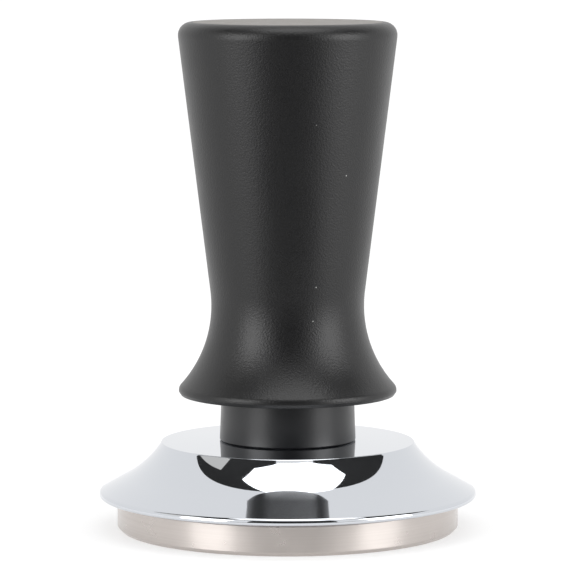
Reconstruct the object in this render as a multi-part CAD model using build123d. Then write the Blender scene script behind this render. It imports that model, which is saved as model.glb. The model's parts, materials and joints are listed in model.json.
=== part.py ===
"""Spring-loaded espresso tamper with a self-levelling collar, for 58 mm portafilter baskets.

Millimetres, +Z up, origin at the centre of the tamping face. Every piece is round about Z apart from
springs, slots and wrench features. Working from the table upwards:

- The stainless base screws onto a guide post, and a headed plunger rod screws into the top of that post.
- The chromed collar and its black neck sleeve slide up the guide post against a light spring. The collar's
  flat underside rests on the rim of the basket, which keeps the tamper level.
- The handle slides down the plunger rod against the heavy main spring, until the gland nut in its mouth
  lands on the guide post. The main spring and its shims set the tamping force.
"""

from build123d import *
from math import acos, cos, radians, sin, sqrt, tan
import os

# Travel of the two sliding joints
press_travel = 2.5  # handle down onto the guide post
lift_travel = 5.0  # collar up the guide post
stop_gap = 0.05  # left between metal stops at the end of a travel
neck_gap = 0.1  # left between neck sleeve and gland nut with both travels used up
skirt_gap = 0.5  # left between collar and handle with both travels used up

# Clearances
running_clearance = 0.03  # radial, shaft in a bush
thread_clearance = 0.02  # radial, a screwed or pressed pair
face_clearance = 0.02  # axial, between stacked faces
bumper_clearance = 0.05  # axial, between the bumper ring and the collar

# Base: a stainless puck with a threaded boss
base_radius = 29.0
puck_height = 7.0
band_height = 4.9  # top of the full-diameter tamping band, below a sloping shoulder
shoulder_inset = 1.2
base_chamfer = 0.6
boss_radius = 11.0
boss_height = 2.5
boss_chamfer = 0.5
stud_radius = 5.0  # M10 stud of the guide post
stud_floor = 3.0  # metal left under the blind stud hole
stud_end_gap = 0.3

# Bumper ring let into the top of the puck
bumper_inset = 4.0  # the ring's middle, inside the base's edge
bumper_section = 1.8
bumper_depth = 0.8
bumper_groove_width = 2.1

# Guide post and plunger rod
post_radius = 8.0
post_chamfer = 0.4
washer_thickness = 0.8
washer_slot = 0.8
rod_radius = 5.0
rod_thread_radius = 4.0  # M8
rod_thread_length = 13.0
flats_across = 14.0
flats_height = 3.6
flats_above_bush = 6.0  # keeps the flats clear of the lifted bush
ring_groove_depth = 0.5
ring_land = 0.55  # post metal left above the retaining-ring groove
ring_thickness = 0.8
ring_width = 1.6
ring_opening = 40.0  # degrees
retainer_thickness = 0.6

# Light collar spring, seated on the collar's guide bush
collar_wire = 1.0
collar_turns = 5.5
collar_spring_clearance = 0.65  # radial, over the guide post
neck_spring_clearance = 0.3  # radial, inside the neck sleeve
seat_thickness = 0.5
bush_wall = 1.38
bush_length = 7.0

# Levelling collar
collar_lower_face = 5.55  # the collar's flat underside above the table, at rest
collar_overhang = 3.1  # the rim, outside the base's edge
collar_top_inset = 7.5  # the edge of the flat top, inside the base's edge
collar_top = 14.85  # at its edge
collar_crown = 0.2  # rise of the top from its edge to the neck
top_edge_rounding = 0.2
rim_height = 0.95
rim_rounding = 0.45  # under the rim
rim_edge = 0.75  # rounding where the flank meets the rim
flank_slope = 29.3  # degrees below the horizontal, next to the rim
flank_radius = 17.5
collar_bore_clearance = 0.35  # radial, round the base
bore_depth = 1.3  # the straight bore round the base
bumper_seat_width = 4.0
pocket_margin = 0.9  # the top of the pocket, inside the edge of the flat top
pocket_web = 2.6
hub_gap = 0.8  # between the base's boss and the collar's hub
hub_wall = 2.8

# Neck sleeve, screwed into the collar
neck_wall = 1.6
neck_draft = 2.0  # degrees
neck_chamfer = 0.2
spigot_step = 0.85

# Handle
handle_height = 63.15
mouth_clearance = 0.35  # radial, round the neck sleeve
mouth_depth = 12.15
mouth_chamfer = 0.3
waist_wall = 1.07  # metal left outside the mouth at the waist
flare_radius = 20.3
skirt_radius = 18.5
skirt_land = 0.68
skirt_bevel_height = 0.6
skirt_bevel_depth = 0.4
skirt_rounding = 1.2
taper = 7.1  # degrees each side
top_rounding = 2.2
badge_margin = 0.2  # flat ring left outside the badge
badge_thickness = 0.85
badge_clearance = 0.06
badge_bevel = 0.15
adhesive_thickness = 0.15
adhesive_margin = 0.5

# Gland nut, which closes the handle and guides the rod
gland_flange = 1.5
gland_flange_clearance = 0.15
gland_thread_length = 7.0
gland_seat_width = 1.4
thread_depth = 0.6
rod_bush_wall = 1.5
rod_bush_inset = 0.3
spanner_hole_radius = 0.9
spanner_hole_depth = 1.1
buffer_thickness = 1.0
buffer_clearance = 0.3

# Plunger head and main spring
head_clearance = 0.4  # radial, in the handle's bore
head_thickness = 3.0
head_chamfer = 0.4
spigot_height = 3.0
hex_across = 5.0
hex_depth = 4.0
main_wire = 2.8
main_turns = 8
main_length = 30.0  # installed
main_spring_clearance = 0.7  # radial, in the handle's bore
spigot_clearance = 0.8  # radial, inside the main spring
hard_seat = 1.0
upper_spigot = 2.0
shim_thickness = 0.3
shim_count = 2
shim_hole_radius = 3.0

# Radii worked out from the base's edge
bumper_radius = base_radius - bumper_inset
collar_radius = base_radius + collar_overhang
collar_top_radius = base_radius - collar_top_inset
pocket_top_radius = collar_top_radius - pocket_margin

# Radii worked out from the guide post outwards
collar_spring_radius = post_radius + collar_spring_clearance + collar_wire / 2
neck_bore = collar_spring_radius + collar_wire / 2 + neck_spring_clearance
neck_foot_radius = neck_bore + neck_wall
spigot_radius = neck_foot_radius - spigot_step
bush_inner = post_radius + running_clearance
bush_outer = bush_inner + bush_wall
mouth_radius = neck_foot_radius + mouth_clearance
waist_radius = mouth_radius + waist_wall
thread_radius = mouth_radius - gland_seat_width
bore_radius = thread_radius - thread_depth
head_radius = bore_radius - head_clearance
main_spring_radius = bore_radius - main_spring_clearance - main_wire / 2
centring_radius = main_spring_radius - main_wire / 2 - spigot_clearance
rod_bush_inner = rod_radius + running_clearance
rod_bush_outer = rod_bush_inner + rod_bush_wall

# Heights worked out from the table upwards
boss_top = puck_height + boss_height
post_foot = boss_top + washer_thickness
hub_foot = boss_top + hub_gap
bush_top = hub_foot + bush_length
spring_foot = bush_top + seat_thickness + 2 * face_clearance
bumper_top = puck_height - bumper_depth + bumper_section
skirt_foot = collar_top + press_travel + lift_travel + skirt_gap
handle_top = skirt_foot + handle_height
mouth_end = skirt_foot + mouth_depth
gland_foot = mouth_end - gland_flange
gland_top = mouth_end + gland_thread_length
post_top = gland_foot - press_travel - stop_gap
neck_top = gland_foot - press_travel - lift_travel - neck_gap
ring_top = post_top - ring_land
retainer_foot = ring_top - ring_thickness - face_clearance - retainer_thickness
head_foot = gland_top + buffer_thickness + 2 * face_clearance
head_top = head_foot + head_thickness
main_spring_foot = head_top + hard_seat + 2 * face_clearance
main_spring_top = main_spring_foot + main_length
shim_foot = main_spring_top + hard_seat + 2 * face_clearance
bore_end = shim_foot + shim_count * (shim_thickness + face_clearance)
recess_floor = handle_top - badge_thickness - adhesive_thickness - face_clearance

# Outline of the grip: a straight taper, tangent to the round flare of the skirt
flare_angle = acos(1 - (skirt_radius - waist_radius) / flare_radius)
flare_foot = skirt_foot + skirt_bevel_height + skirt_land
waist_height = flare_foot + flare_radius * sin(flare_angle)
taper_start_radius = waist_radius + flare_radius * (1 - cos(radians(taper)))
taper_start_height = waist_height + flare_radius * sin(radians(taper))
top_corner_radius = taper_start_radius + (handle_top - taper_start_height) * tan(radians(taper))
top_flat_radius = top_corner_radius - top_rounding / tan(radians(90 - taper) / 2)
badge_radius = top_flat_radius - badge_margin


def at(radius, height):
    """A point of a turned outline, in the XZ plane."""
    return Vector(radius, 0, height)


def turn(points, rounded=()):
    """The solid turned about Z from a closed outline of (radius, height) points.

    rounded lists ((radius, height), rounding) for the corners that are rounded.
    """
    outline = Polyline(*[at(*point) for point in points], close=True)
    return turn_face(make_face(outline), rounded)


def turn_face(face, rounded=()):
    """The solid turned about Z from a face in the XZ plane, with the listed corners rounded first."""
    face = face.face()
    for corner, rounding in rounded:
        vertex = face.vertices().sort_by_distance(at(*corner))[0]
        face = face.fillet_2d(rounding, [vertex])
    return revolve(face, Axis.Z)


def ring(inner, outer, bottom, top, bevel=0.0):
    """A flat ring about Z with its four edges bevelled, or a disc when inner is 0."""
    outside = [(outer - bevel, bottom), (outer, bottom + bevel), (outer, top - bevel), (outer - bevel, top)]
    if inner:
        inside = [
            (inner + bevel, top),
            (inner, top - bevel),
            (inner, bottom + bevel),
            (inner + bevel, bottom),
        ]
    else:
        inside = [(0, top), (0, bottom)]
    if not bevel:
        outside = [(outer, bottom), (outer, top)]
        inside = [(inner, top), (inner, bottom)]
    return turn(outside + inside)


def slot_cutter(width, reach, bottom, top, angle=0.0):
    """A box that cuts a radial slot of the given width from the axis out to reach."""
    box = Box(reach, width, top - bottom, align=(Align.MIN, Align.CENTER, Align.MIN))
    return Rot(0, 0, angle) * Pos(0, 0, bottom) * box


def coil_spring(radius, wire, turns, bottom, top):
    """A compression spring wound round Z, with both ends ground flat."""
    length = top - bottom
    helix = Helix(length / turns, length, radius)
    section = Plane(helix @ 0, z_dir=helix % 0) * Circle(wire / 2)
    wound = Pos(0, 0, bottom) * sweep(section, path=helix)
    band = Pos(0, 0, bottom) * Cylinder(
        radius + wire, length, align=(Align.CENTER, Align.CENTER, Align.MIN)
    )
    return wound & band


def base_plate():
    """The stainless puck that tamps the coffee, with its threaded boss."""
    groove_inner = bumper_radius - bumper_groove_width / 2
    groove_outer = bumper_radius + bumper_groove_width / 2
    groove_floor = puck_height - bumper_depth
    hole_radius = stud_radius + thread_clearance
    return turn(
        [
            (0, 0),
            (base_radius - base_chamfer, 0),
            (base_radius, base_chamfer),
            (base_radius, band_height),
            (base_radius - shoulder_inset, puck_height),
            (groove_outer, puck_height),
            (groove_outer, groove_floor),
            (groove_inner, groove_floor),
            (groove_inner, puck_height),
            (boss_radius, puck_height),
            (boss_radius, boss_top - boss_chamfer),
            (boss_radius - boss_chamfer, boss_top),
            (hole_radius, boss_top),
            (hole_radius, stud_floor),
            (0, stud_floor),
        ]
    )


def base_bumper_ring():
    """Rubber ring on which the collar comes to rest."""
    centre = at(bumper_radius, bumper_top - bumper_section / 2)
    section = Plane(centre, z_dir=(0, 1, 0)) * Circle(bumper_section / 2)
    return revolve(section, Axis.Z)


def post_lock_washer():
    """Split washer between the base's boss and the guide post."""
    inner = stud_radius + 2 * thread_clearance + 0.1
    outer = post_radius - 0.1
    washer = ring(inner, outer, boss_top + face_clearance, post_foot - face_clearance)
    return washer - slot_cutter(washer_slot, outer + 1, boss_top, post_foot)


def guide_post():
    """Post that carries the collar: M10 stud below, M8 hole above, ring groove and wrench flats."""
    hole_radius = rod_thread_radius + thread_clearance
    hole_floor = post_top - rod_thread_length - stud_end_gap
    groove_radius = post_radius - ring_groove_depth
    groove_foot = ring_top - ring_thickness
    stud_foot = stud_floor + stud_end_gap
    post = turn(
        [
            (0, stud_foot),
            (stud_radius - post_chamfer, stud_foot),
            (stud_radius, stud_foot + post_chamfer),
            (stud_radius, post_foot),
            (post_radius - post_chamfer, post_foot),
            (post_radius, post_foot + post_chamfer),
            (post_radius, groove_foot),
            (groove_radius, groove_foot),
            (groove_radius, ring_top),
            (post_radius, ring_top),
            (post_radius, post_top),
            (hole_radius, post_top),
            (hole_radius, hole_floor),
            (0, hole_floor),
        ]
    )
    flats_foot = bush_top + flats_above_bush
    for side in (-1, 1):
        offset = side * (flats_across + post_radius) / 2
        upright = (Align.CENTER, Align.CENTER, Align.MIN)
        cutter = Box(post_radius, 2 * post_radius, flats_height, align=upright)
        post -= Pos(offset, 0, flats_foot) * cutter
    return post


def spring_retainer():
    """Washer that holds down the light collar spring."""
    inner = post_radius + running_clearance
    outer = neck_bore - neck_spring_clearance + 0.1
    return ring(inner, outer, retainer_foot, retainer_foot + retainer_thickness)


def retaining_ring():
    """Open snap ring in the guide post's groove, above the retainer washer."""
    inner = post_radius - ring_groove_depth + face_clearance
    outer = inner + ring_width
    foot = ring_top - ring_thickness + face_clearance
    snap = ring(inner, outer, foot, ring_top - face_clearance)
    opening = 2 * outer * sin(radians(ring_opening / 2))
    return snap - slot_cutter(opening, outer + 1, foot - 1, ring_top + 1, angle=90)


def plunger_rod():
    """Headed rod on which the handle slides, with an M8 foot and a hex socket in its head."""
    thread_foot = post_top - rod_thread_length
    rod = turn(
        [
            (0, thread_foot),
            (rod_thread_radius - post_chamfer, thread_foot),
            (rod_thread_radius, thread_foot + post_chamfer),
            (rod_thread_radius, post_top + face_clearance),
            (rod_radius, post_top + face_clearance),
            (rod_radius, head_foot),
            (head_radius - head_chamfer, head_foot),
            (head_radius, head_foot + head_chamfer),
            (head_radius, head_top - head_chamfer),
            (head_radius - head_chamfer, head_top),
            (centring_radius, head_top),
            (centring_radius, head_top + spigot_height - head_chamfer),
            (centring_radius - head_chamfer, head_top + spigot_height),
            (0, head_top + spigot_height),
        ]
    )
    socket_floor = head_top + spigot_height - hex_depth
    hexagon = RegularPolygon(hex_across / 2, 6, major_radius=False)
    return rod - Pos(0, 0, socket_floor) * extrude(hexagon, 2 * hex_depth)


def lower_spring_seat():
    """Hardened washer between the plunger's head and the main spring."""
    foot = head_top + face_clearance
    return ring(centring_radius + 0.1, head_radius, foot, foot + hard_seat, bevel=0.15)


def upper_spring_seat():
    """Hardened cap that centres the top of the main spring."""
    foot = main_spring_top + face_clearance
    return turn(
        [
            (0, foot - upper_spigot),
            (centring_radius - head_chamfer, foot - upper_spigot),
            (centring_radius, foot - upper_spigot + head_chamfer),
            (centring_radius, foot),
            (head_radius, foot),
            (head_radius, foot + hard_seat),
            (0, foot + hard_seat),
        ]
    )


def preload_shims():
    """Thin shims that set the main spring's preload."""
    step = shim_thickness + face_clearance
    feet = [shim_foot + index * step for index in range(shim_count)]
    return [ring(shim_hole_radius, head_radius, foot, foot + shim_thickness) for foot in feet]


def main_spring():
    """Heavy spring that sets the tamping force."""
    return coil_spring(main_spring_radius, main_wire, main_turns, main_spring_foot, main_spring_top)


def collar_spring():
    """Light spring that returns the collar onto the base."""
    top = retainer_foot - face_clearance
    return coil_spring(collar_spring_radius, collar_wire, collar_turns, spring_foot, top)


def collar_spring_seat():
    """Thin washer under the light spring, on the collar's guide bush."""
    foot = bush_top + face_clearance
    return ring(post_radius + 0.3, neck_bore - 0.15, foot, foot + seat_thickness)


def collar_guide_bush():
    """Polymer bush in the neck sleeve, which slides on the guide post."""
    return ring(bush_inner, bush_outer, hub_foot, bush_top, bevel=0.2)


def neck_sleeve():
    """Black neck: screwed into the collar below, telescoping into the handle above."""
    bush_seat = bush_outer + thread_clearance
    shoulder = collar_top + collar_crown + face_clearance
    draft_start = shoulder + neck_chamfer
    top_radius = neck_foot_radius - (neck_top - draft_start) * tan(radians(neck_draft))
    return turn(
        [
            (bush_seat, hub_foot),
            (spigot_radius, hub_foot),
            (spigot_radius, shoulder),
            (neck_foot_radius - neck_chamfer, shoulder),
            (neck_foot_radius, draft_start),
            (top_radius, neck_top - neck_chamfer),
            (top_radius - neck_chamfer, neck_top),
            (neck_bore, neck_top),
            (neck_bore, bush_top),
            (bush_seat, bush_top),
        ]
    )


def flank_tangent_point(rim_corner):
    """Where the collar's straight lower flank runs into the hollow arc that ends at its top edge."""
    slope = radians(flank_slope)
    inward = (-cos(slope), sin(slope))
    centre_line = (rim_corner[0] + flank_radius * sin(slope), rim_corner[1] + flank_radius * cos(slope))
    gap = (collar_top_radius - centre_line[0], collar_top - centre_line[1])
    along = gap[0] * inward[0] + gap[1] * inward[1]
    across = gap[0] ** 2 + gap[1] ** 2 - flank_radius**2
    distance = along - sqrt(along**2 - across)
    tangent = (rim_corner[0] + distance * inward[0], rim_corner[1] + distance * inward[1])
    centre = (tangent[0] + flank_radius * sin(slope), tangent[1] + flank_radius * cos(slope))
    return tangent, centre


def levelling_collar():
    """Chromed bell-shaped collar. Its flat underside rests on the basket's rim."""
    rim_corner = (collar_radius, collar_lower_face + rim_height)
    underside_corner = (collar_radius, collar_lower_face)
    tangent, centre = flank_tangent_point(rim_corner)
    middle_x = (tangent[0] + collar_top_radius) / 2 - centre[0]
    middle_z = (tangent[1] + collar_top) / 2 - centre[1]
    reach = flank_radius / sqrt(middle_x**2 + middle_z**2)
    middle = (centre[0] + middle_x * reach, centre[1] + middle_z * reach)
    top_edge = (collar_top_radius, collar_top)
    bore = base_radius + collar_bore_clearance
    spigot_bore = spigot_radius + thread_clearance
    seat = bumper_top + bumper_clearance
    inside = [
        at(*underside_corner),
        at(bore, collar_lower_face),
        at(bore, collar_lower_face + bore_depth),
        at(bumper_radius + bumper_seat_width / 2, seat),
        at(bumper_radius - bumper_seat_width / 2, seat),
        at(pocket_top_radius, collar_top - pocket_web),
        at(spigot_radius + hub_wall, collar_top - pocket_web),
        at(spigot_radius + hub_wall, hub_foot),
        at(spigot_bore, hub_foot),
        at(spigot_bore, collar_top + collar_crown),
        at(*top_edge),
    ]
    outline = [
        Polyline(*inside),
        ThreePointArc(at(*top_edge), at(*middle), at(*tangent)),
        Polyline(at(*tangent), at(*rim_corner), at(*underside_corner)),
    ]
    rounded = [(top_edge, top_edge_rounding), (rim_corner, rim_edge), (underside_corner, rim_rounding)]
    return turn_face(make_face(outline), rounded)


def handle_body():
    """Black anodised handle, bored from below for the main spring and recessed on top for the badge."""
    flare_middle = flare_angle / 2 - radians(taper) / 2
    flare_points = [
        at(taper_start_radius, taper_start_height),
        at(
            waist_radius + flare_radius * (1 - cos(flare_middle)),
            waist_height - flare_radius * sin(flare_middle),
        ),
        at(skirt_radius, flare_foot),
    ]
    recess_radius = badge_radius + badge_clearance
    screw_radius = thread_radius + thread_clearance
    top_corner = (top_corner_radius, handle_top)
    skirt_corner = (skirt_radius, flare_foot)
    below = [
        at(*skirt_corner),
        at(skirt_radius, flare_foot - skirt_land),
        at(skirt_radius - skirt_bevel_depth, skirt_foot),
        at(mouth_radius + mouth_chamfer, skirt_foot),
        at(mouth_radius, skirt_foot + mouth_chamfer),
        at(mouth_radius, mouth_end),
        at(screw_radius, mouth_end),
        at(screw_radius, gland_top + face_clearance),
        at(bore_radius, gland_top + face_clearance),
        at(bore_radius, bore_end),
        at(0, bore_end),
        at(0, recess_floor),
        at(recess_radius, recess_floor),
        at(recess_radius, handle_top),
        at(*top_corner),
        at(taper_start_radius, taper_start_height),
    ]
    outline = [Polyline(*below), ThreePointArc(*flare_points)]
    rounded = [(top_corner, top_rounding), (skirt_corner, skirt_rounding)]
    return turn_face(make_face(outline), rounded)


def top_badge():
    """Plain brushed disc let into the handle's top."""
    foot = handle_top - badge_thickness
    return turn(
        [
            (0, foot),
            (badge_radius, foot),
            (badge_radius, handle_top - badge_bevel),
            (badge_radius - badge_bevel, handle_top),
            (0, handle_top),
        ]
    )


def badge_adhesive():
    """Adhesive film under the badge."""
    foot = recess_floor + face_clearance / 2
    return ring(0, badge_radius - adhesive_margin, foot, foot + adhesive_thickness)


def gland_nut():
    """Threaded nut in the handle's mouth. It holds the rod's bush and takes the main spring's preload."""
    bush_bore = rod_bush_outer + thread_clearance
    flange_radius = mouth_radius - gland_flange_clearance
    nut = turn(
        [
            (bush_bore, gland_foot),
            (flange_radius, gland_foot),
            (flange_radius, mouth_end - face_clearance),
            (thread_radius, mouth_end - face_clearance),
            (thread_radius, gland_top),
            (bush_bore, gland_top),
        ]
    )
    hole = Cylinder(spanner_hole_radius, 2 * spanner_hole_depth)
    pitch_radius = (bush_bore + flange_radius) / 2
    for side in (-1, 1):
        nut -= Pos(side * pitch_radius, 0, gland_foot) * hole
    return nut


def rod_guide_bush():
    """Polymer bush in the gland nut, which slides on the plunger rod."""
    return ring(rod_bush_inner, rod_bush_outer, gland_foot + rod_bush_inset, gland_top, bevel=0.2)


def return_buffer():
    """Washer that quietens the plunger's head as the handle springs back."""
    foot = gland_top + face_clearance
    return ring(rod_radius + buffer_clearance, head_radius, foot, foot + buffer_thickness)


pieces = {
    "base_plate": base_plate(),
    "base_bumper_ring": base_bumper_ring(),
    "post_lock_washer": post_lock_washer(),
    "guide_post": guide_post(),
    "spring_retainer": spring_retainer(),
    "retaining_ring": retaining_ring(),
    "plunger_rod": plunger_rod(),
    "lower_spring_seat": lower_spring_seat(),
    "main_spring": main_spring(),
    "upper_spring_seat": upper_spring_seat(),
    "preload_shims": Compound(children=preload_shims()),
    "collar_spring": collar_spring(),
    "collar_spring_seat": collar_spring_seat(),
    "collar_guide_bush": collar_guide_bush(),
    "neck_sleeve": neck_sleeve(),
    "levelling_collar": levelling_collar(),
    "handle_body": handle_body(),
    "top_badge": top_badge(),
    "badge_adhesive": badge_adhesive(),
    "gland_nut": gland_nut(),
    "rod_guide_bush": rod_guide_bush(),
    "return_buffer": return_buffer(),
}

os.makedirs("parts", exist_ok=True)
for name, piece in pieces.items():
    export_step(piece, f"parts/{name}.step")

print(f"height {handle_top:.2f}, top corner radius {top_corner_radius:.2f}, badge radius {badge_radius:.2f}")
print(f"waist {waist_radius:.2f} at {waist_height:.2f}")
print(f"neck foot {neck_foot_radius:.2f}, bore {bore_radius:.2f}")
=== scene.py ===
# %% [markdown]
# # An espresso tamper, finished in Blender
#
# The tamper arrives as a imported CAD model: every piece has its true size and place, and plain colours.
# This lesson gives it its looks. The pieces that show are turned again as clean meshes with small edge
# roundings, because those edges catch the light. The springs are wound by Geometry Nodes. Every piece
# then gets a finish made of nodes.
#
# The first cell loads the model. Its boxes and heights are read from the frame, so that nothing has to be
# fitted.

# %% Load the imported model
import json
import math

import bmesh
import bpy
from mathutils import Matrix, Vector


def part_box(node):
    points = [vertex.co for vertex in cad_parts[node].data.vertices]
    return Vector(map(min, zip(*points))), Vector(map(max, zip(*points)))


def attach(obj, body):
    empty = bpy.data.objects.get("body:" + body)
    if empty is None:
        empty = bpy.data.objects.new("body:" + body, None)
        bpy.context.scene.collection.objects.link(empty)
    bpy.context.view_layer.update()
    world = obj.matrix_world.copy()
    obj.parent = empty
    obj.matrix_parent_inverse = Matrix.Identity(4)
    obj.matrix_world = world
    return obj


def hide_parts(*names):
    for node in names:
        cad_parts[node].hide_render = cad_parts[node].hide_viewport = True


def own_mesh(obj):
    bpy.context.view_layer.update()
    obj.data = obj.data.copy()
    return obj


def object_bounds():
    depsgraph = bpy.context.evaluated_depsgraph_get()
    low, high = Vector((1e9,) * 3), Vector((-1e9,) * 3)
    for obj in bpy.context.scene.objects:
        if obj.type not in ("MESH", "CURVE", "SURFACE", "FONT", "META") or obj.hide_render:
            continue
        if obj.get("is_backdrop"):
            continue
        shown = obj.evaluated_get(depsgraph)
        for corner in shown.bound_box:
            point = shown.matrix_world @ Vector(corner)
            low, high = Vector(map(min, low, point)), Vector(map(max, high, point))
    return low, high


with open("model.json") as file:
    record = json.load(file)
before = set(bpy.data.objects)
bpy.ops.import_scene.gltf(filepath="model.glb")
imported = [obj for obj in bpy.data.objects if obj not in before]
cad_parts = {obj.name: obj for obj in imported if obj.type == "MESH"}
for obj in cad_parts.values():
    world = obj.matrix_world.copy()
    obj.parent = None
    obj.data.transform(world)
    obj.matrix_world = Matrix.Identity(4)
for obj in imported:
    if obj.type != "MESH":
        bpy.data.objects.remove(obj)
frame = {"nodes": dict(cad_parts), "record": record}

cad_box = [list(map(float, corner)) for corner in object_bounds()]
print("CAD box, metres:", cad_box)

# %% [markdown]
# ## Millimetres, colours and nodes
#
# Blender works in metres and in linear light, but a maker thinks in millimetres and picks colours as hex
# codes. Two tiny things turn one into the other: `MM`, and `linear`. Then `add` adds a node to a tree,
# with its settings and what feeds it, so that each material below reads as a list of steps.

# %% Small helpers
MM = 0.001


def linear(hex_code):
    """An sRGB colour such as "C0FFEE" as the linear RGBA that Blender's sockets expect."""
    channels = [int(hex_code[i : i + 2], 16) / 255 for i in (0, 2, 4)]
    return [c / 12.92 if c <= 0.04045 else ((c + 0.055) / 1.055) ** 2.4 for c in channels] + [1.0]


def feed(tree, node, **feeds):
    """Fills a node's inputs, each with a value, a socket to link, or a node for its first output."""
    for name, value in feeds.items():
        socket = node.inputs[int(name[1:])] if name[0] == "_" else node.inputs[name.replace("_", " ")]
        if isinstance(value, bpy.types.Node):
            value = value.outputs[0]
        if isinstance(value, bpy.types.NodeSocket):
            tree.links.new(value, socket)
        else:
            socket.default_value = value


def add(tree, kind, settings=None, **feeds):
    """Adds a node. settings are its properties. feeds are its inputs, by name or by number, as in _2."""
    made = tree.nodes.new(kind)
    for name, value in (settings or {}).items():
        setattr(made, name, value)
    feed(tree, made, **feeds)
    return made


print("mid grey 808080 is", [round(c, 3) for c in linear("808080")])

# %% [markdown]
# ## Reading the sizes from the frame
#
# The turned pieces start from those numbers, so a change in the CAD model carries through to here.

# %% Sizes, in millimetres


def low(node):
    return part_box(node)[0].z / MM


def high(node):
    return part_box(node)[1].z / MM


def radius(node):
    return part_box(node)[1].x / MM


handle_foot, handle_top = low("handle_body"), high("handle_body")
badge_radius, badge_foot = radius("top_badge"), low("top_badge")
neck_foot, neck_top, neck_radius = low("neck_sleeve"), high("neck_sleeve"), radius("neck_sleeve")
collar_foot, collar_top = low("levelling_collar"), high("levelling_collar")
collar_radius = radius("levelling_collar")
base_top, base_radius = high("base_plate"), radius("base_plate")
print(f"handle {handle_foot:.2f} to {handle_top:.2f}, neck {neck_radius:.2f}, collar {collar_radius:.2f}")

# %% [markdown]
# ## A lathe
#
# Every piece that shows was turned on a lathe, so one tool makes them all: an outline of (radius, height)
# points is carried round the Z axis. Blender's Spin or Screw tools could do it, but working the rings out
# directly keeps the faces in tidy quads, turned outwards, with a UV map that holds millimetres.
#
# Real turned parts have no perfectly sharp edge. `outline` rounds each corner by its own radius, and
# keeps a point close beside each rounding on the straight run next to it. Those points hold the flats
# flat under smooth shading.

# %% Outlines with rounded corners
ROUND_STEPS = 6  # straight pieces in a rounding of a quarter turn
HOLD = 0.08  # mm from a rounding to the point that holds the flat beside it


def rounded_corner(before, corner, after, rounding):
    """The points of an arc of that radius, which replaces the corner between two straight runs."""
    here, back, ahead = Vector(corner), Vector(before) - Vector(corner), Vector(after) - Vector(corner)
    half = back.angle(ahead) / 2
    if rounding <= 0 or half > math.radians(89):
        return [here]
    setback = min(rounding / math.tan(half), 0.95 * back.length, 0.95 * ahead.length)
    rounding = setback * math.tan(half)
    centre = here + (back.normalized() + ahead.normalized()).normalized() * rounding / math.sin(half)
    start, end = here + back.normalized() * setback - centre, here + ahead.normalized() * setback - centre
    sweep = start.angle_signed(end)
    steps = max(2, math.ceil(ROUND_STEPS * abs(sweep) / (math.pi / 2)))
    arc = []
    for i in range(steps + 1):
        angle = -sweep * i / steps
        cos, sin = math.cos(angle), math.sin(angle)
        arc.append(centre + Vector((start.x * cos - start.y * sin, start.x * sin + start.y * cos)))
    return arc


def outline(corners, rounding=0.1):
    """A closed outline from (radius, height) or (radius, height, rounding) corners, listed anticlockwise."""
    points = []
    for i, corner in enumerate(corners):
        before, after = corners[i - 1], corners[(i + 1) % len(corners)]
        size = corner[2] if len(corner) > 2 else rounding
        on_axis = corner[0] < 1e-6
        run = rounded_corner(before[:2], corner[:2], after[:2], 0 if on_axis else size)
        points.append(run)
    held = []
    for i, run in enumerate(points):
        held += run
        gap = points[(i + 1) % len(points)][0] - run[-1]
        if gap.length > 4 * HOLD:
            held += [run[-1] + gap.normalized() * HOLD, run[-1] + gap - gap.normalized() * HOLD]
    return held


def arc_corners(centre_r, centre_z, size, start, end, steps):
    """Corners with no rounding of their own, along an arc given by its two angles in degrees."""
    turns = [math.radians(start + (end - start) * i / steps) for i in range(steps + 1)]
    return [(centre_r + size * math.cos(t), centre_z + size * math.sin(t), 0) for t in turns]


# %% [markdown]
# The lathe puts a ring of points at each point of the outline, and joins every ring to the next with
# quads. Where the outline meets the axis the ring is a single point, so the end closes without a hole.
# The UV map is in millimetres: U runs round the piece and V along its outline, for finishes that need to
# know which way the tool went.

# %% The lathe itself
ROUND_SEGMENTS = 192  # a 64 mm collar then shows facets of about 1 mm, which smooth shading hides


def turned(name, points):
    """A closed, smooth mesh from an outline carried round Z. Its UV map is (way round, way along) in mm."""
    mesh = bpy.data.meshes.new(name)
    build = bmesh.new()
    rings = []
    for point in points:
        count = 1 if point[0] < 1e-6 else ROUND_SEGMENTS
        ring = []
        for i in range(count):
            angle = 2 * math.pi * i / ROUND_SEGMENTS
            place = (point[0] * math.cos(angle) * MM, point[0] * math.sin(angle) * MM, point[1] * MM)
            ring.append(build.verts.new(place))
        rings.append(ring)
    uv = build.loops.layers.uv.new("mm")
    step = 2 * math.pi / ROUND_SEGMENTS * base_radius
    near = 0.0
    for here, ahead, start, end in zip(rings, rings[1:] + rings[:1], points, list(points[1:]) + [points[0]]):
        far = near + math.hypot(end[0] - start[0], end[1] - start[1])
        if len(here) > 1 or len(ahead) > 1:
            for i in range(ROUND_SEGMENTS):
                corners = [(here, i, near), (here, i + 1, near), (ahead, i + 1, far), (ahead, i, far)]
                if len(here) == 1:
                    corners.pop(0)
                if len(ahead) == 1:
                    corners.pop()
                face = build.faces.new([ring[k % len(ring)] for ring, k, _ in corners])
                face.smooth = True
                for loop, (_, k, v) in zip(face.loops, corners):
                    loop[uv].uv = (step * k, v)
        near = far
    build.to_mesh(mesh)
    build.free()
    made = bpy.data.objects.new(name, mesh)
    bpy.context.scene.collection.objects.link(made)
    print(f"{name}: {len(mesh.polygons)} faces")
    return made


# %% [markdown]
# ## The handle
#
# The real handle is a bar of aluminium, turned to a plain taper that flares into a skirt, then blasted
# with glass bead and anodised black. The taper runs tangent into the flare, so both come from one rule:
# the waist's radius, the flare's radius and the taper's angle. It is hollow below for the spring, which
# shows when the handle is looked at from underneath, so the bore is turned too.

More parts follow.
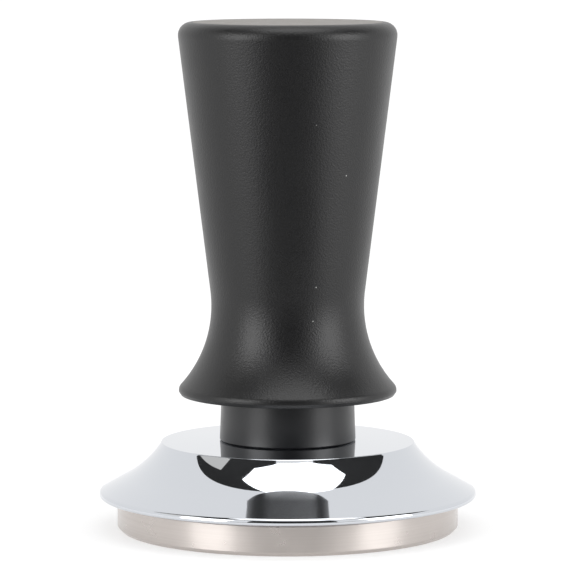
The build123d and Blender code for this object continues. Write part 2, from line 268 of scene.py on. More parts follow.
# %% Sizes of the handle
FIT = 0.02  # mm left between pieces that touch
taper = math.radians(7.1)  # each side
flare = 20.3  # radius of the hollow curve
nose = 1.2  # radius of the skirt's rounded edge
mouth_clearance, waist_wall = 0.35, 1.07
mouth_radius = neck_radius + mouth_clearance
waist = mouth_radius + waist_wall
skirt_radius = 18.5
skirt_bevel_height, skirt_bevel_depth, skirt_land = 0.6, 0.4, 0.68
top_rounding = 2.2
recess_gap, film_space = 0.06, 0.17  # round the badge, and under it
recess_radius, recess_floor = badge_radius + recess_gap, badge_foot - film_space
bore_radius, bore_end = 9.9, high("preload_shims") + FIT
thread_length, thread_depth = 7.0, 1.38
thread_top = high("gland_nut")
thread_radius = mouth_radius - thread_depth
print(f"waist {waist:.2f} mm, skirt {skirt_radius:.2f} mm")

# %% [markdown]
# The nose touches the flare on one side and the skirt's straight land on the other, so its centre follows
# from both. The taper starts where the flare's slope has grown to the taper's angle.

# %% Nose, flare and taper
flare_foot = handle_foot + skirt_bevel_height + skirt_land
waist_height = flare_foot + math.sqrt(flare**2 - (waist + flare - skirt_radius) ** 2)
taper_foot = waist_height + flare * math.sin(taper)
taper_foot_radius = waist + flare * (1 - math.cos(taper))
top_radius = taper_foot_radius + (handle_top - taper_foot) * math.tan(taper)
across = waist + flare - (skirt_radius - nose)
nose_height = waist_height - math.sqrt((flare + nose) ** 2 - across**2)
touch = math.degrees(math.atan2(waist_height - nose_height, across))
nose_arc = arc_corners(skirt_radius - nose, nose_height, nose, 0, touch, 8)
flare_arc = arc_corners(waist + flare, waist_height, flare, 180 + touch, 180 - math.degrees(taper), 44)
print(f"the flare meets the taper {taper_foot:.2f} mm up, and the top corner is {top_radius:.2f} mm out")

# %% [markdown]
# The outline starts at the top of the bore, comes down the inside, and goes up the outside to the badge's
# recess.

# %% Turn the handle
inside = [
    (0, bore_end),
    (bore_radius, bore_end),
    (bore_radius, thread_top + FIT, 0),
    (thread_radius, thread_top + FIT, 0),
    (thread_radius, thread_top - thread_length),
    (mouth_radius, thread_top - thread_length),
    (mouth_radius, handle_foot, 0.3),
]
skirt = [
    (skirt_radius - skirt_bevel_depth, handle_foot, 0.15),
    (skirt_radius, handle_foot + skirt_bevel_height, 0.12),
]
crest = [
    (top_radius, handle_top, top_rounding),
    (recess_radius, handle_top, 0.08),
    (recess_radius, recess_floor),
    (0, recess_floor),
]
handle = turned("handle_shell", outline(inside + skirt + nose_arc[1:] + flare_arc[1:] + crest))

# %% [markdown]
# ## The badge in the handle's top
#
# A plain disc of brushed metal lies in a recess, flush with the rim. Its edge is broken by a small bevel,
# which is what draws the thin bright line along its front.

# %% Turn the badge
badge = turned(
    "top_disc",
    outline([(0, badge_foot), (badge_radius, badge_foot), (badge_radius, handle_top, 0.16), (0, handle_top)]),
)

# %% [markdown]
# ## The neck sleeve
#
# The neck is a tube of black acetal. Its outside has two degrees of draft, and a small chamfer where it
# sits on the collar. That chamfer is the thin dark line at its foot. Below it is a spigot that screws
# into the collar.

# %% Turn the neck sleeve
neck_wall, spigot_step = 1.6, 0.85
neck_chamfer = 0.2
neck_draft = math.radians(2)
shoulder = collar_top + FIT  # the collar is highest where the neck stands on it
neck_bore = neck_radius - neck_wall
spigot_radius = neck_radius - spigot_step
bush_seat, bush_top = radius("collar_guide_bush") + FIT, high("collar_guide_bush")
neck_top_radius = neck_radius - (neck_top - shoulder - neck_chamfer) * math.tan(neck_draft)
neck = turned(
    "neck_tube",
    outline(
        [
            (bush_seat, neck_foot),
            (spigot_radius, neck_foot),
            (spigot_radius, shoulder, 0.05),
            (neck_radius - neck_chamfer, shoulder, 0.03),
            (neck_radius, shoulder + neck_chamfer, 0.08),
            (neck_top_radius, neck_top, 0.3),
            (neck_bore, neck_top, 0.15),
            (neck_bore, bush_top, 0.05),
            (bush_seat, bush_top, 0.05),
        ]
    ),
)

# %% [markdown]
# ## The levelling collar
#
# The collar is a cast bell, polished and chromed. Its flank has two parts: a straight slope above the
# rim, then a hollow arc that steepens up to the edge of the flat top. A mirror shows every facet of a
# curve, so the arc gets many steps. The tangent point between slope and arc is worked out, not placed by
# eye.

# %% The collar's flank
flank_slope = math.radians(29.3)
flank_radius = 17.5
crown = 0.2  # rise of the flat top towards the neck
rim_height, top_inset = 0.95, 7.5
rim = Vector((collar_radius, collar_foot + rim_height))
top_edge = Vector((base_radius - top_inset, collar_top - crown))
up_flank = Vector((-math.cos(flank_slope), math.sin(flank_slope)))
to_centre = Vector((math.sin(flank_slope), math.cos(flank_slope))) * flank_radius
gap = top_edge - (rim + to_centre)
run = gap.dot(up_flank) - math.sqrt(gap.dot(up_flank) ** 2 - gap.length_squared + flank_radius**2)
tangent = rim + up_flank * run
arc_centre = tangent + to_centre
start_angle = math.degrees(math.atan2(tangent.y - arc_centre.y, tangent.x - arc_centre.x))
end_angle = math.degrees(math.atan2(top_edge.y - arc_centre.y, top_edge.x - arc_centre.x))
flank_arc = arc_corners(arc_centre.x, arc_centre.y, flank_radius, start_angle, end_angle, 48)
print(f"flank runs straight for {run:.2f} mm, then bends through {start_angle - end_angle:.1f} degrees")

# %% [markdown]
# Inside, a hub holds the neck's spigot, a thin web runs out under the flat top, and a ledge rests on the
# bumper ring. The bore below the ledge clears the base, so that the collar can slide up it.

# %% Turn the collar
bumper_width, seat_gap = 1.8, 0.05
seat_height = high("base_bumper_ring") + seat_gap
bumper_middle = radius("base_bumper_ring") - bumper_width / 2
seat_reach = 2.0  # from the bumper's middle to each edge of the ledge
hub_wall, web, web_shortfall = 2.8, 2.6, 0.9
hub_radius, web_foot = spigot_radius + hub_wall, top_edge.y - web
bore_clearance, bore_depth = 0.35, 1.3
bore = base_radius + bore_clearance
under_collar = [
    (spigot_radius + FIT, neck_foot, 0.1),
    (hub_radius, neck_foot, 0.3),
    (hub_radius, web_foot, 0.6),
    (top_edge.x - web_shortfall, web_foot, 1.0),
    (bumper_middle - seat_reach, seat_height, 0.3),
    (bumper_middle + seat_reach, seat_height, 0.3),
    (bore, collar_foot + bore_depth, 0.3),
    (bore, collar_foot, 0.12),
]
collar_rim = [(collar_radius, collar_foot, 0.45), (collar_radius, rim.y, 0.75)]
collar_crest = [(top_edge.x, top_edge.y, 0.2), (spigot_radius + FIT, collar_top, 0.05)]
collar = turned("chromed_collar", outline(under_collar + collar_rim + flank_arc[:-1] + collar_crest))

# %% [markdown]
# ## The base
#
# The puck that meets the coffee is turned from stainless steel. Below the collar only its full-diameter
# band shows, over a small chamfer. A groove in its top holds the bumper ring, and its boss is bored for
# the guide post.

# %% Turn the base
puck_height, boss_radius, stud_bore, stud_floor = 7.0, 11.0, 5.02, 3.0
foot_chamfer, band_top, shoulder_width = 0.6, 4.9, 1.2
groove, groove_depth = bumper_width / 2 + 0.15, 0.8  # half the groove's width, and its depth
puck_side = [
    (0, 0),
    (base_radius - foot_chamfer, 0, 0.06),
    (base_radius, foot_chamfer, 0.12),
    (base_radius, band_top, 0.12),
    (base_radius - shoulder_width, puck_height, 0.15),
]
bumper_groove = [
    (bumper_middle + groove, puck_height),
    (bumper_middle + groove, puck_height - groove_depth),
    (bumper_middle - groove, puck_height - groove_depth),
    (bumper_middle - groove, puck_height),
]
boss = [
    (boss_radius, puck_height, 0.3),
    (boss_radius, base_top, 0.5),
    (stud_bore, base_top, 0.1),
    (stud_bore, stud_floor, 0.05),
    (0, stud_floor),
]
base = turned("base_puck", outline(puck_side + bumper_groove + boss, rounding=0.06))

# %% [markdown]
# ## The springs
#
# A spring is one rule, a wire that climbs as it turns, so it suits Geometry Nodes. A straight line of
# points is bent into the coil by one Set Position node. The first and last turns climb by only the wire's
# thickness, which closes the ends. A second Set Position flattens whatever would stick out above and
# below, as grinding does. The tree's inputs have names, and each is set by its socket identifier before
# the object is first evaluated.

# %% Build the spring tree
MATHS = "ShaderNodeMath"
TIMES, OVER = {"operation": "MULTIPLY"}, {"operation": "DIVIDE"}
PLUS, MINUS = {"operation": "ADD"}, {"operation": "SUBTRACT"}
LESSER, GREATER = {"operation": "MINIMUM"}, {"operation": "MAXIMUM"}
WIRE_GAP = 0.04  # of the wire's radius, left between the closed turns so that they don't merge
TIP_SINK = 0.3  # of the wire's radius, from the spring's end to the wire's middle: the rest is ground off


def spring_tree():
    """A node group that winds a spring round Z, with closed and ground ends. Sizes are in metres."""
    tree = bpy.data.node_groups.new("wound_spring", "GeometryNodeTree")
    for name in ("Coil radius", "Wire radius", "Turns", "Closed turns", "Foot", "Length"):
        tree.interface.new_socket(name, in_out="INPUT", socket_type="NodeSocketFloat")
    tree.interface.new_socket("Points", in_out="INPUT", socket_type="NodeSocketInt")
    tree.interface.new_socket("Finish", in_out="INPUT", socket_type="NodeSocketMaterial")
    tree.interface.new_socket("Spring", in_out="OUTPUT", socket_type="NodeSocketGeometry")
    sizes = add(tree, "NodeGroupInput").outputs
    closed = sizes["Closed turns"]

    # How far the wire has turned at each point, and how far it climbs in an open turn.
    line = add(tree, "GeometryNodeCurvePrimitiveLine", End=(0.0, 0.0, 1.0))
    points = add(tree, "GeometryNodeResampleCurve", Curve=line, Count=sizes["Points"])
    factor = add(tree, "GeometryNodeSplineParameter").outputs["Factor"]
    turn = add(tree, MATHS, TIMES, _0=factor, _1=sizes["Turns"])
    closed_rise = add(tree, MATHS, TIMES, _0=sizes["Wire radius"], _1=2 + WIRE_GAP)
    both_ends = add(tree, MATHS, TIMES, _0=closed, _1=2.0)
    open_turns = add(tree, MATHS, MINUS, _0=sizes["Turns"], _1=both_ends)
    end_rise = add(tree, MATHS, TIMES, _0=closed_rise, _1=closed)
    tip = add(tree, MATHS, TIMES, _0=sizes["Wire radius"], _1=TIP_SINK)
    one_end = add(tree, MATHS, PLUS, _0=end_rise, _1=tip)
    lost = add(tree, MATHS, TIMES, _0=one_end, _1=2.0)
    left = add(tree, MATHS, MINUS, _0=sizes["Length"], _1=lost)
    pitch = add(tree, MATHS, OVER, _0=left, _1=open_turns)

    # The climb is shared out: so many turns at the first end, in the middle and at the last end.
    first = add(tree, MATHS, LESSER, _0=turn, _1=closed)
    past_first = add(tree, MATHS, MINUS, _0=turn, _1=closed)
    opened = add(tree, MATHS, GREATER, _0=past_first, _1=0.0)
    middle = add(tree, MATHS, LESSER, _0=opened, _1=open_turns)
    last_start = add(tree, MATHS, PLUS, _0=closed, _1=open_turns)
    past_middle = add(tree, MATHS, MINUS, _0=turn, _1=last_start)
    last = add(tree, MATHS, GREATER, _0=past_middle, _1=0.0)
    end_turns = add(tree, MATHS, PLUS, _0=first, _1=last)
    ends = add(tree, MATHS, TIMES, _0=closed_rise, _1=end_turns)
    opens = add(tree, MATHS, TIMES, _0=middle, _1=pitch)
    climb = add(tree, MATHS, PLUS, _0=ends, _1=opens)
    start = add(tree, MATHS, PLUS, _0=tip, _1=climb)
    height = add(tree, MATHS, PLUS, _0=sizes["Foot"], _1=start)

    # The line becomes a coil, and a circle carried along it becomes the wire.
    angle = add(tree, MATHS, TIMES, _0=turn, _1=2 * math.pi)
    cosine = add(tree, MATHS, {"operation": "COSINE"}, _0=angle)
    sine = add(tree, MATHS, {"operation": "SINE"}, _0=angle)
    east = add(tree, MATHS, TIMES, _0=sizes["Coil radius"], _1=cosine)
    north = add(tree, MATHS, TIMES, _0=sizes["Coil radius"], _1=sine)
    place = add(tree, "ShaderNodeCombineXYZ", X=east, Y=north, Z=height)
    coil = add(tree, "GeometryNodeSetPosition", Geometry=points, Position=place)
    section = add(tree, "GeometryNodeCurvePrimitiveCircle", Resolution=20, Radius=sizes["Wire radius"])
    wound = add(tree, "GeometryNodeCurveToMesh", Curve=coil, Profile_Curve=section, Fill_Caps=True)

    # Grinding: whatever stands out above or below is pressed flat.
    where = add(tree, "ShaderNodeSeparateXYZ", Vector=add(tree, "GeometryNodeInputPosition")).outputs
    top = add(tree, MATHS, PLUS, _0=sizes["Foot"], _1=sizes["Length"])
    not_below = add(tree, MATHS, GREATER, _0=where["Z"], _1=sizes["Foot"])
    level = add(tree, MATHS, LESSER, _0=not_below, _1=top)
    ground = add(tree, "ShaderNodeCombineXYZ", X=where["X"], Y=where["Y"], Z=level)
    flat = add(tree, "GeometryNodeSetPosition", Geometry=wound, Position=ground)
    smooth = add(tree, "GeometryNodeSetShadeSmooth", Geometry=flat)
    real = add(tree, "GeometryNodeRealizeInstances", Geometry=smooth)
    done = add(tree, "GeometryNodeSetMaterial", Geometry=real, Material=sizes["Finish"])
    add(tree, "NodeGroupOutput", Spring=done)
    return tree


winder = spring_tree()
print("the spring tree has", len(winder.nodes), "nodes")

# %% [markdown]
# A tree works on an object through a modifier. This helper hangs the tree on an empty carrier, sets its
# inputs, takes the evaluated result as a plain mesh, and throws the carrier away. The springs themselves
# are wound further down, once their finish exists.

# %% Grow a plain mesh from a tree


def grown(name, tree, **values):
    """The mesh that a tree makes with these inputs, as a plain object with no modifier."""
    carrier = bpy.data.objects.new(name + "_carrier", bpy.data.meshes.new(name + "_carrier"))
    bpy.context.scene.collection.objects.link(carrier)
    modifier = carrier.modifiers.new("grow", "NODES")
    modifier.node_group = tree
    for item in tree.interface.items_tree:
        key = item.name.replace(" ", "_")
        if item.in_out == "INPUT" and key in values:
            modifier[item.identifier] = values[key]
    evaluated = carrier.evaluated_get(bpy.context.evaluated_depsgraph_get())
    mesh = bpy.data.meshes.new_from_object(evaluated)
    bpy.data.objects.remove(carrier)
    made = bpy.data.objects.new(name, mesh)
    bpy.context.scene.collection.objects.link(made)
    print(f"{name}: {len(mesh.polygons)} faces")
    return made


# %% [markdown]
# ## Finishes: the patterns behind them
#
# Most of these pieces left a lathe, and a lathe tool leaves fine rings. The same rings run round a side
# wall and across an end face, so the pattern is drawn in lathe coordinates: distance from the axis, and
# height. Those come from Object coordinates, so the rings stay with the piece from every side.
#
# Real tool marks stand about 0.05 mm apart, too fine to show when the whole tamper is in view. Some
# patterns below are drawn coarser than life, and say so.

# %% Patterns in lathe coordinates
BLEND = {"data_type": "RGBA"}  # for Mix: input 0 is the factor, 6 and 7 the colours, output 2 the result
MIDDLE = {"From_Min": 0.3, "From_Max": 0.7}  # noise seldom leaves this range, so it is spread over the whole


def per_mm(size):
    """The texture scale that makes a pattern's features about this many millimetres wide."""
    return 1 / (size * MM)


def lathe_coordinates(tree):
    """A vector of (radius, height, a little of the way round), in metres."""
    point = add(tree, "ShaderNodeTexCoord").outputs["Object"]
    across = add(tree, "ShaderNodeVectorMath", {"operation": "MULTIPLY"}, _0=point, _1=(1.0, 1.0, 0.0))
    from_axis = add(tree, "ShaderNodeVectorMath", {"operation": "LENGTH"}, _0=across).outputs["Value"]
    axes = add(tree, "ShaderNodeSeparateXYZ", Vector=point).outputs
    wander = add(tree, "ShaderNodeMath", TIMES, _0=axes["X"], _1=0.004)
    return add(tree, "ShaderNodeCombineXYZ", X=from_axis, Y=axes["Z"], Z=wander)


def finish(name):
    """A new material: its tree and its Principled shader, already joined to the output."""
    material = bpy.data.materials.new(name)
    material.use_nodes = True
    tree = material.node_tree
    tree.nodes.clear()
    shader = add(tree, "ShaderNodeBsdfPrincipled")
    add(tree, "ShaderNodeOutputMaterial", Surface=shader)
    return material, tree, shader


print("features 0.3 mm wide need a scale of", round(per_mm(0.3)))

# %% [markdown]
# ## Bead-blasted, black anodised aluminium
#
# Glass bead leaves a skin of tiny round dimples, and the dyed oxide over them is nearly black. The eye
# sees a soft grain that sparkles where a light is mirrored, and edges that pale as the surface turns
# away. Real dimples are about 0.1 mm across. They are drawn at 0.3 mm, so that the grain shows. A few
# pale specks of dust lie on it: one dot in each cell of a Voronoi pattern, of which only one cell in five
# keeps its dot.

# %% Finish for the handle
anodised, tree, shader = finish("bead_blasted_black_anodised_aluminium")
surface = add(tree, "ShaderNodeTexCoord").outputs["Object"]
dimples = add(tree, "ShaderNodeTexNoise", Vector=surface, Scale=per_mm(0.3), Detail=1.0)
clouds = add(tree, "ShaderNodeTexNoise", Vector=surface, Scale=per_mm(9.0), Detail=3.0)
shade = add(tree, "ShaderNodeMapRange", Value=dimples, To_Min=0.0, To_Max=1.0, **MIDDLE)
dye = add(tree, "ShaderNodeMix", BLEND, _0=shade, _6=linear("0B0B0C"), _7=linear("121213")).outputs[2]
cells = add(tree, "ShaderNodeTexVoronoi", {"feature": "F1"}, Vector=surface, Scale=per_mm(5.0)).outputs
distance = cells["Distance"]
dot = add(tree, "ShaderNodeMapRange", Value=distance, From_Min=0.014, From_Max=0.03, To_Min=1.0, To_Max=0.0)
chance = add(tree, "ShaderNodeSeparateColor", Color=cells["Color"]).outputs["Red"]
rare = add(tree, "ShaderNodeMapRange", Value=chance, From_Min=0.80, From_Max=0.82, To_Min=0.0, To_Max=1.0)
dust = add(tree, "ShaderNodeMath", TIMES, _0=dot, _1=rare)
feed(
    tree,
    shader,
    Base_Color=add(tree, "ShaderNodeMix", BLEND, _0=dust, _6=dye, _7=linear("9A9A98")).outputs[2],
    IOR=1.45,
    Roughness=add(tree, "ShaderNodeMapRange", Value=clouds, To_Min=0.34, To_Max=0.40, **MIDDLE),
    Normal=add(tree, "ShaderNodeBump", Height=dimples, Distance=0.045 * MM, Strength=0.9),
)
print("handle finish has", len(tree.nodes), "nodes")

# %% [markdown]
# ## Turned black acetal
#
# Acetal comes off the lathe with a satin skin, smoother than the handle, and faint rings from the tool.
# They are drawn 0.35 mm wide, coarser than life.

# %% Finish for the neck
acetal, tree, shader = finish("turned_black_acetal")
rings = add(tree, "ShaderNodeTexNoise", Vector=lathe_coordinates(tree), Scale=per_mm(0.35))
surface = add(tree, "ShaderNodeTexCoord").outputs["Object"]
clouds = add(tree, "ShaderNodeTexNoise", Vector=surface, Scale=per_mm(4.0), Detail=3.0)
colour = add(tree, "ShaderNodeMix", BLEND, _0=clouds, _6=linear("131416"), _7=linear("1A1B1E")).outputs[2]
feed(
    tree,
    shader,
    Base_Color=colour,
    Roughness=add(tree, "ShaderNodeMapRange", Value=clouds, To_Min=0.30, To_Max=0.38, **MIDDLE),
    Normal=add(tree, "ShaderNodeBump", Height=rings, Distance=0.006 * MM, Strength=0.6),
)
print("neck finish has", len(tree.nodes), "nodes")

# %% [markdown]
# ## Chrome plate
#
# Chromium reflects about two thirds of the light, a little more blue than red, so it is not pure white.
# Polishing leaves it nearly a mirror. A trace of haze, and waves a few millimetres long in the polish,
# keep it from looking drawn.

# %% Finish for the collar
chrome, tree, shader = finish("polished_chrome_plate")
surface = add(tree, "ShaderNodeTexCoord").outputs["Object"]
haze = add(tree, "ShaderNodeTexNoise", Vector=surface, Scale=per_mm(7.0), Detail=4.0)
waves = add(tree, "ShaderNodeTexNoise", Vector=surface, Scale=per_mm(2.5))
gloss = add(tree, "ShaderNodeMapRange", Value=haze, From_Min=0.35, From_Max=0.7, To_Min=0.025, To_Max=0.06)
feed(
    tree,
    shader,
    Base_Color=linear("CFD2D7"),
    Metallic=1.0,
    Roughness=gloss,
    Normal=add(tree, "ShaderNodeBump", Height=waves, Distance=0.002 * MM, Strength=0.4),
)
print("collar finish has", len(tree.nodes), "nodes")

# %% [markdown]
# ## Fine turned stainless steel
#
# The side of the base was turned and then lightly brushed on the lathe. Rings 0.05 mm apart spread every
# highlight up and down, which gives the soft upright bands of light. The tangent runs round the piece,
# along U of its own UV map, and the quarter turn of the anisotropy sets the spread across the rings.
# Drawn at 0.25 mm the rings still show. Stainless has a warm grey of its own.

# %% Finish for the base
stainless, tree, shader = finish("fine_turned_stainless_steel")
rings = add(
    tree, "ShaderNodeTexNoise", Vector=lathe_coordinates(tree), Scale=per_mm(0.25), Detail=3.0, Roughness=0.7
)
surface = add(tree, "ShaderNodeTexCoord").outputs["Object"]
clouds = add(tree, "ShaderNodeTexNoise", Vector=surface, Scale=per_mm(5.0), Detail=3.0)
colour = add(tree, "ShaderNodeMix", BLEND, _0=rings, _6=linear("B8B1AC"), _7=linear("C9C2BE")).outputs[2]
feed(
    tree,
    shader,
    Base_Color=colour,
    Metallic=1.0,
    Roughness=add(tree, "ShaderNodeMapRange", Value=clouds, To_Min=0.26, To_Max=0.34, **MIDDLE),
    Normal=add(tree, "ShaderNodeBump", Height=rings, Distance=0.006 * MM, Strength=0.5),
    Anisotropic=0.75,
    Anisotropic_Rotation=0.25,
    Tangent=add(tree, "ShaderNodeTangent", {"direction_type": "UV_MAP", "uv_map": "mm"}),
)
print("base finish has", len(tree.nodes), "nodes")

# %% [markdown]
# ## Brushed badge
#
# The badge is brushed in straight strokes, under a clear coat that has gone a little uneven. Long thin
# noise makes the strokes, and slow clouds make the mottling. The strokes are drawn 0.2 mm wide, about
# twice their real width.

# %% Finish for the badge
brushed, tree, shader = finish("brushed_nickel_silver")
surface = add(tree, "ShaderNodeTexCoord").outputs["Object"]
stretched = add(tree, "ShaderNodeMapping", Vector=surface, Scale=(0.03, 1.0, 1.0))
strokes = add(tree, "ShaderNodeTexNoise", Vector=stretched, Scale=per_mm(0.2), Detail=3.0, Roughness=0.7)
clouds = add(tree, "ShaderNodeTexNoise", Vector=surface, Scale=per_mm(1.4), Detail=4.0)
mottling = add(tree, "ShaderNodeMapRange", Value=clouds, From_Min=0.25, From_Max=0.75, To_Min=0.0, To_Max=1.0)
tone = add(tree, "ShaderNodeMix", BLEND, _0=mottling, _6=linear("77726D"), _7=linear("95908A")).outputs[2]
depth = add(tree, "ShaderNodeMapRange", Value=strokes, To_Min=0.0, To_Max=0.6, **MIDDLE)
feed(
    tree,
    shader,
    Base_Color=add(tree, "ShaderNodeMix", BLEND, _0=depth, _6=tone, _7=linear("5C5853")).outputs[2],
    Metallic=1.0,
    Roughness=add(tree, "ShaderNodeMapRange", Value=clouds, To_Min=0.36, To_Max=0.52, **MIDDLE),
    Normal=add(tree, "ShaderNodeBump", Height=strokes, Distance=0.008 * MM, Strength=0.6),
)
print("badge finish has", len(tree.nodes), "nodes")

# %% [markdown]
# ## The hidden pieces
#
# The pieces inside keep their CAD meshes, and each still gets a finish for what it is. One recipe covers
# the plain metals: rings from the lathe, a slow variation of gloss, and the metal's own colour.

# %% A recipe for machined metals


def machined(name, dark, light, gloss, ring_size=0.3, depth=0.006):
    """A turned or ground metal: rings between two colours, and gloss as a (low, high) pair of roughness."""
    made, tree, shader = finish(name)
    lathe = lathe_coordinates(tree)
    rings = add(tree, "ShaderNodeTexNoise", Vector=lathe, Scale=per_mm(ring_size), Detail=3.0, Roughness=0.7)
    surface = add(tree, "ShaderNodeTexCoord").outputs["Object"]
    clouds = add(tree, "ShaderNodeTexNoise", Vector=surface, Scale=per_mm(3.0), Detail=3.0)
    feed(
        tree,
        shader,
        Base_Color=add(tree, "ShaderNodeMix", BLEND, _0=rings, _6=linear(dark), _7=linear(light)).outputs[2],
        Metallic=1.0,
        Roughness=add(tree, "ShaderNodeMapRange", Value=clouds, To_Min=gloss[0], To_Max=gloss[1], **MIDDLE),
        Normal=add(tree, "ShaderNodeBump", Height=rings, Distance=depth * MM, Strength=0.5),
    )
    print(name, "has", len(tree.nodes), "nodes")
    return made


SHALLOW = 0.003  # mm, the depth of the marks on ground, drawn and plated metal
metals = {
    "ground_steel": machined("ground_stainless_steel", "B4B4B6", "CDCDCF", (0.18, 0.28), 0.15, SHALLOW),
    "hardened_steel": machined("black_oxide_hardened_steel", "2E2E31", "434347", (0.32, 0.46)),
    "spring_steel": machined("drawn_spring_wire", "8A8B8F", "A5A6AA", (0.24, 0.36), 0.5, SHALLOW),
    "zinc_steel": machined("bright_zinc_plate", "AEB4BA", "C9CED6", (0.24, 0.40), 0.8, SHALLOW),
    "gland_brass": machined("turned_brass", "B08D45", "CDAA5E", (0.20, 0.32)),
}

# %% [markdown]
# The bearings, the rubber rings and the adhesive film share a second recipe. Their skin has a fine grain
# instead of rings, and their shade wanders slowly.

# %% A recipe for polymers and rubber


def moulded(name, dark, light, gloss):
    """A polymer or rubber: a fine grain in the skin, and a slow change of shade."""
    made, tree, shader = finish(name)
    surface = add(tree, "ShaderNodeTexCoord").outputs["Object"]
    grain = add(tree, "ShaderNodeTexNoise", Vector=surface, Scale=per_mm(0.5))
    clouds = add(tree, "ShaderNodeTexNoise", Vector=surface, Scale=per_mm(4.0), Detail=3.0)
    feed(
        tree,
        shader,
        Base_Color=add(tree, "ShaderNodeMix", BLEND, _0=clouds, _6=linear(dark), _7=linear(light)).outputs[2],
        Roughness=add(tree, "ShaderNodeMapRange", Value=grain, To_Min=gloss[0], To_Max=gloss[1], **MIDDLE),
        Normal=add(tree, "ShaderNodeBump", Height=grain, Distance=0.01 * MM, Strength=0.5),
    )
    print(name, "has", len(tree.nodes), "nodes")
    return made


polymers = {
    "ivory_polymer": moulded("machined_bearing_polymer", "D3CBB4", "E4DDCA", (0.40, 0.52)),
    "black_rubber": moulded("moulded_nitrile_rubber", "151515", "202020", (0.55, 0.75)),
    "adhesive_film": moulded("acrylic_adhesive_film", "C9C3AE", "DAD5C4", (0.30, 0.45)),
}

# %% [markdown]
# ## Putting it together
#
# The CAD record names a material slot for each node. One table says which finish fills each slot, and
# every CAD node takes its own.

# %% Dress the CAD nodes
finishes = {
    "black_anodised": anodised,
    "brushed_badge": brushed,
    "black_acetal": acetal,
    "chrome_plate": chrome,
    "turned_stainless": stainless,
} | metals | polymers
slots = {part["node"]: part["material_slot"] for part in frame["record"]["subparts"]}
for node, obj in frame["nodes"].items():
    obj.data.materials.clear()
    obj.data.materials.append(finishes[slots[node]])
print(len(finishes), "finishes on", len(slots), "nodes")

# %% [markdown]
# Each turned piece stands in for its CAD node: it rides on the same body, so that it moves with it, and
# takes the same slot and finish.

# %% Stand the turned pieces in for their nodes
for piece, node, body in [
    (handle, "handle_body", "handle"),
    (badge, "top_badge", "handle"),
    (neck, "neck_sleeve", "collar"),
    (collar, "levelling_collar", "collar"),
    (base, "base_plate", "base"),
]:
    piece.data.materials.append(finishes[slots[node]])
    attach(piece, body)
    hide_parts(node)
    print(f"{piece.name} stands in for {node} on {body}")

# %% [markdown]
# Both springs ride on the base and keep the length of their CAD nodes. The main spring stands on its foot
# and the handle presses on its top. The light one hangs from its top, and the collar pushes its foot up.

# %% Wind the springs
POINTS_A_TURN = 40
for name, node, wire, turns, joint, travel, fixed in [
    ("main_coil", "main_spring", 2.8, 8.0, "handle_press", 2.5, low("main_spring")),
    ("collar_coil", "collar_spring", 1.0, 5.5, "collar_lift", 5.0, high("collar_spring")),
]:
    length = high(node) - low(node)
    coil = grown(
        name,
        winder,
        Coil_radius=(radius(node) - wire / 2) * MM,
        Wire_radius=wire / 2 * MM,
        Turns=turns,
        Closed_turns=1.0,
        Foot=low(node) * MM,
        Length=length * MM,
        Points=int(turns * POINTS_A_TURN),
        Finish=finishes["spring_steel"],
    )
    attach(coil, "base")
    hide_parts(node)
    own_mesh(coil)

# %% [markdown]
# ## The studio
#
# Black and chrome show little of themselves. They show what stands around them, so the lighting is most
# of their look. The room is white, and a world colour is the simplest way to make it so. The floor is
# pale and matt, and glows faintly, which keeps its shadow light.

# %% Floor and room
world = bpy.data.worlds.new("white_room")
bpy.context.scene.world = world
world.use_nodes = True
feed(world.node_tree, world.node_tree.nodes["Background"], Color=linear("FFFFFF"), Strength=1.04)
bpy.context.scene.view_settings.view_transform = "Standard"

floor_paint, tree, shader = finish("pale_matt_floor")
surface = add(tree, "ShaderNodeTexCoord").outputs["Object"]
clouds = add(tree, "ShaderNodeTexNoise", Vector=surface, Scale=per_mm(60.0))
pale = add(tree, "ShaderNodeMix", BLEND, _0=clouds, _6=linear("C6C6C6"), _7=linear("C9C9C9")).outputs[2]
feed(tree, shader, Base_Color=pale, Roughness=0.9, Emission_Color=linear("FFFFFF"), Emission_Strength=0.42)


def sheet(name, corners, material, place=(0, 0, 0), turn=0.0):
    """A flat stage piece in the XY plane, from its corners in metres. turn is about Z, in degrees."""
    mesh = bpy.data.meshes.new(name)
    mesh.from_pydata([(x, y, 0) for x, y in corners], [], [tuple(range(len(corners)))])
    mesh.materials.append(material)
    made = bpy.data.objects.new(name, mesh)
    made.location = place
    made.rotation_euler.z = math.radians(turn)
    bpy.context.scene.collection.objects.link(made)
    made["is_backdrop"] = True
    print(f"{name} at {place}")
    return made


def rectangle(width, depth):
    """The corners of a rectangle centred on the origin."""
    return [(x * width / 2, y * depth / 2) for x, y in ((-1, -1), (1, -1), (1, 1), (-1, 1))]


sheet("floor", rectangle(60, 60), floor_paint, (0, 0, -0.00005))

# %% [markdown]
# An eight-sided lamp hangs overhead among dark panels, and the collar's flank mirrors all of them. A dark
# screen and a grey mat in front give the handle its dark centre. Anyone who lights polished metal uses
# black felt and white card in the same way, to draw dark and light shapes on it. These belong to the
# stage, and only reflections show them, so they neither hide the tamper nor shade it.

# %% Panels that show only in reflections


def only_in_reflections(obj):
    """Hides a stage object from the camera, and from everything but mirror-like surfaces."""
    obj.visible_camera = False
    obj.visible_shadow = False
    obj.visible_diffuse = False


def glowing(name, hex_code, strength):
    """A material that only gives off light, of one colour."""
    made = bpy.data.materials.new(name)
    made.use_nodes = True
    tree = made.node_tree
    tree.nodes.clear()
    glow = add(tree, "ShaderNodeEmission", Color=linear(hex_code), Strength=strength)
    add(tree, "ShaderNodeOutputMaterial", Surface=glow)
    return made


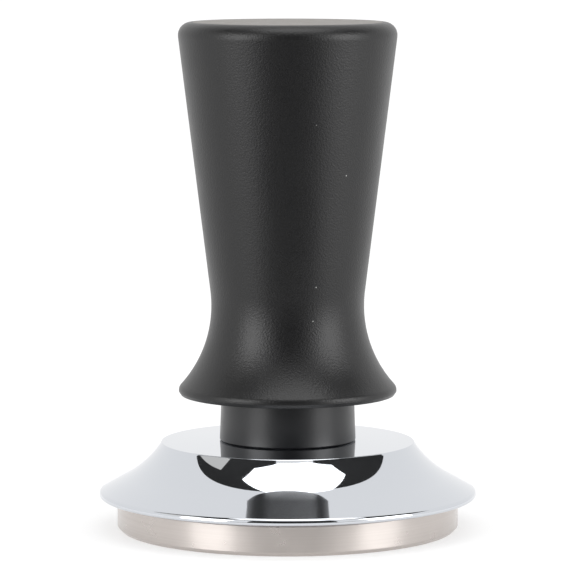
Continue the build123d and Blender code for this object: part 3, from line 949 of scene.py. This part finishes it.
felt, tree, shader = finish("black_felt")
surface = add(tree, "ShaderNodeTexCoord").outputs["Object"]
clouds = add(tree, "ShaderNodeTexNoise", Vector=surface, Scale=per_mm(4.0))
pile = add(tree, "ShaderNodeMix", BLEND, _0=clouds, _6=linear("101010"), _7=linear("242424")).outputs[2]
feed(tree, shader, Base_Color=pile, Roughness=0.95)

eighths = [math.radians(22.5 + 45 * i) for i in range(8)]
lamp = [(0.275 * math.cos(angle), 0.215 * math.sin(angle)) for angle in eighths]
card_light, lamp_light = glowing("pale_card", "F4F2EE", 0.85), glowing("lamp", "FFFFFF", 3.0)
overhead = [
    sheet("dark_left", rectangle(0.76, 0.44), felt, (-0.432, -0.107, 0.562), -9.9),
    sheet("dark_right", rectangle(0.76, 0.44), felt, (0.509, -0.060, 0.562), 17.6),
    sheet("pale_card", rectangle(0.45, 0.35), card_light, (-0.668, -0.111, 0.556), -22.8),
    sheet("lamp", lamp, lamp_light, (0.045, -0.130, 0.550)),
]
screen = sheet("dark_screen", rectangle(0.80, 0.80), felt, (0.05, -0.80, 0.40))
screen.rotation_euler.x = math.radians(90)
mat_corners = [(-0.06, -0.08), (-0.42, -0.60), (0.48, -0.60), (0.07, -0.08)]
mat = sheet("grey_mat", mat_corners, glowing("grey_mat", "FFFFFF", 0.30), (0, 0, 0.0004))
for panel in overhead + [screen, mat]:
    only_in_reflections(panel)

# %% [markdown]
# A tall soft light on each side puts a pale band down each flank of the handle, with the dark screen's
# reflection between them. Blender gives an area light its power in watts, so the power is worked out from
# how bright the panel should look and from its area.

# %% Tall soft lights


def softbox(name, place, width, height, brightness, target=(0, 0, 0.04)):
    """A rectangular area light that looks this bright, aimed at the target. The camera doesn't see it."""
    light = bpy.data.lights.new(name, "AREA")
    light.shape = "RECTANGLE"
    light.size, light.size_y = width, height
    light.energy = brightness * width * height * 4
    made = bpy.data.objects.new(name, light)
    bpy.context.scene.collection.objects.link(made)
    made.location = place
    made.rotation_euler = (Vector(target) - Vector(place)).to_track_quat("-Z", "Y").to_euler()
    made.visible_camera = False
    print(f"{name}: {light.energy:.2f} W")


softbox("tall_left", (-0.50, -0.40, 0.20), 0.36, 0.44, 2.9)
softbox("tall_right", (0.56, -0.28, 0.20), 0.36, 0.44, 2.9)

# %% [markdown]
# ## The camera
#
# The camera stands 62 cm away, a little above the collar, and looks slightly down with a long lens, which
# keeps the tamper's sides nearly parallel.

# %% Set up the camera
camera_data = bpy.data.cameras.new("camera")
camera_data.lens, camera_data.sensor_width = 230.4, 36
camera_data.clip_start, camera_data.clip_end = 0.01, 50
camera = bpy.data.objects.new("camera", camera_data)
bpy.context.scene.collection.objects.link(camera)
camera.location = (0.00005, -0.6214, 0.1077)
look_down = 6.13  # degrees
camera.rotation_euler = (math.radians(90 - look_down), 0, 0)
bpy.context.scene.camera = camera
print(f"lens {camera_data.lens} mm, looking down {look_down} degrees")

# %% [markdown]
# ## Measure and finish
#
# Last, the model's box is measured again and printed beside the CAD box, so that the two can be compared.

# %% Print both boxes
model_box = [list(map(float, corner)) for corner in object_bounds()]
for side, name in enumerate("XYZ"):
    sizes = [(box[1][side] - box[0][side]) / MM for box in (cad_box, model_box)]
    print(f"{name}: CAD {sizes[0]:.2f} mm, model {sizes[1]:.2f} mm")
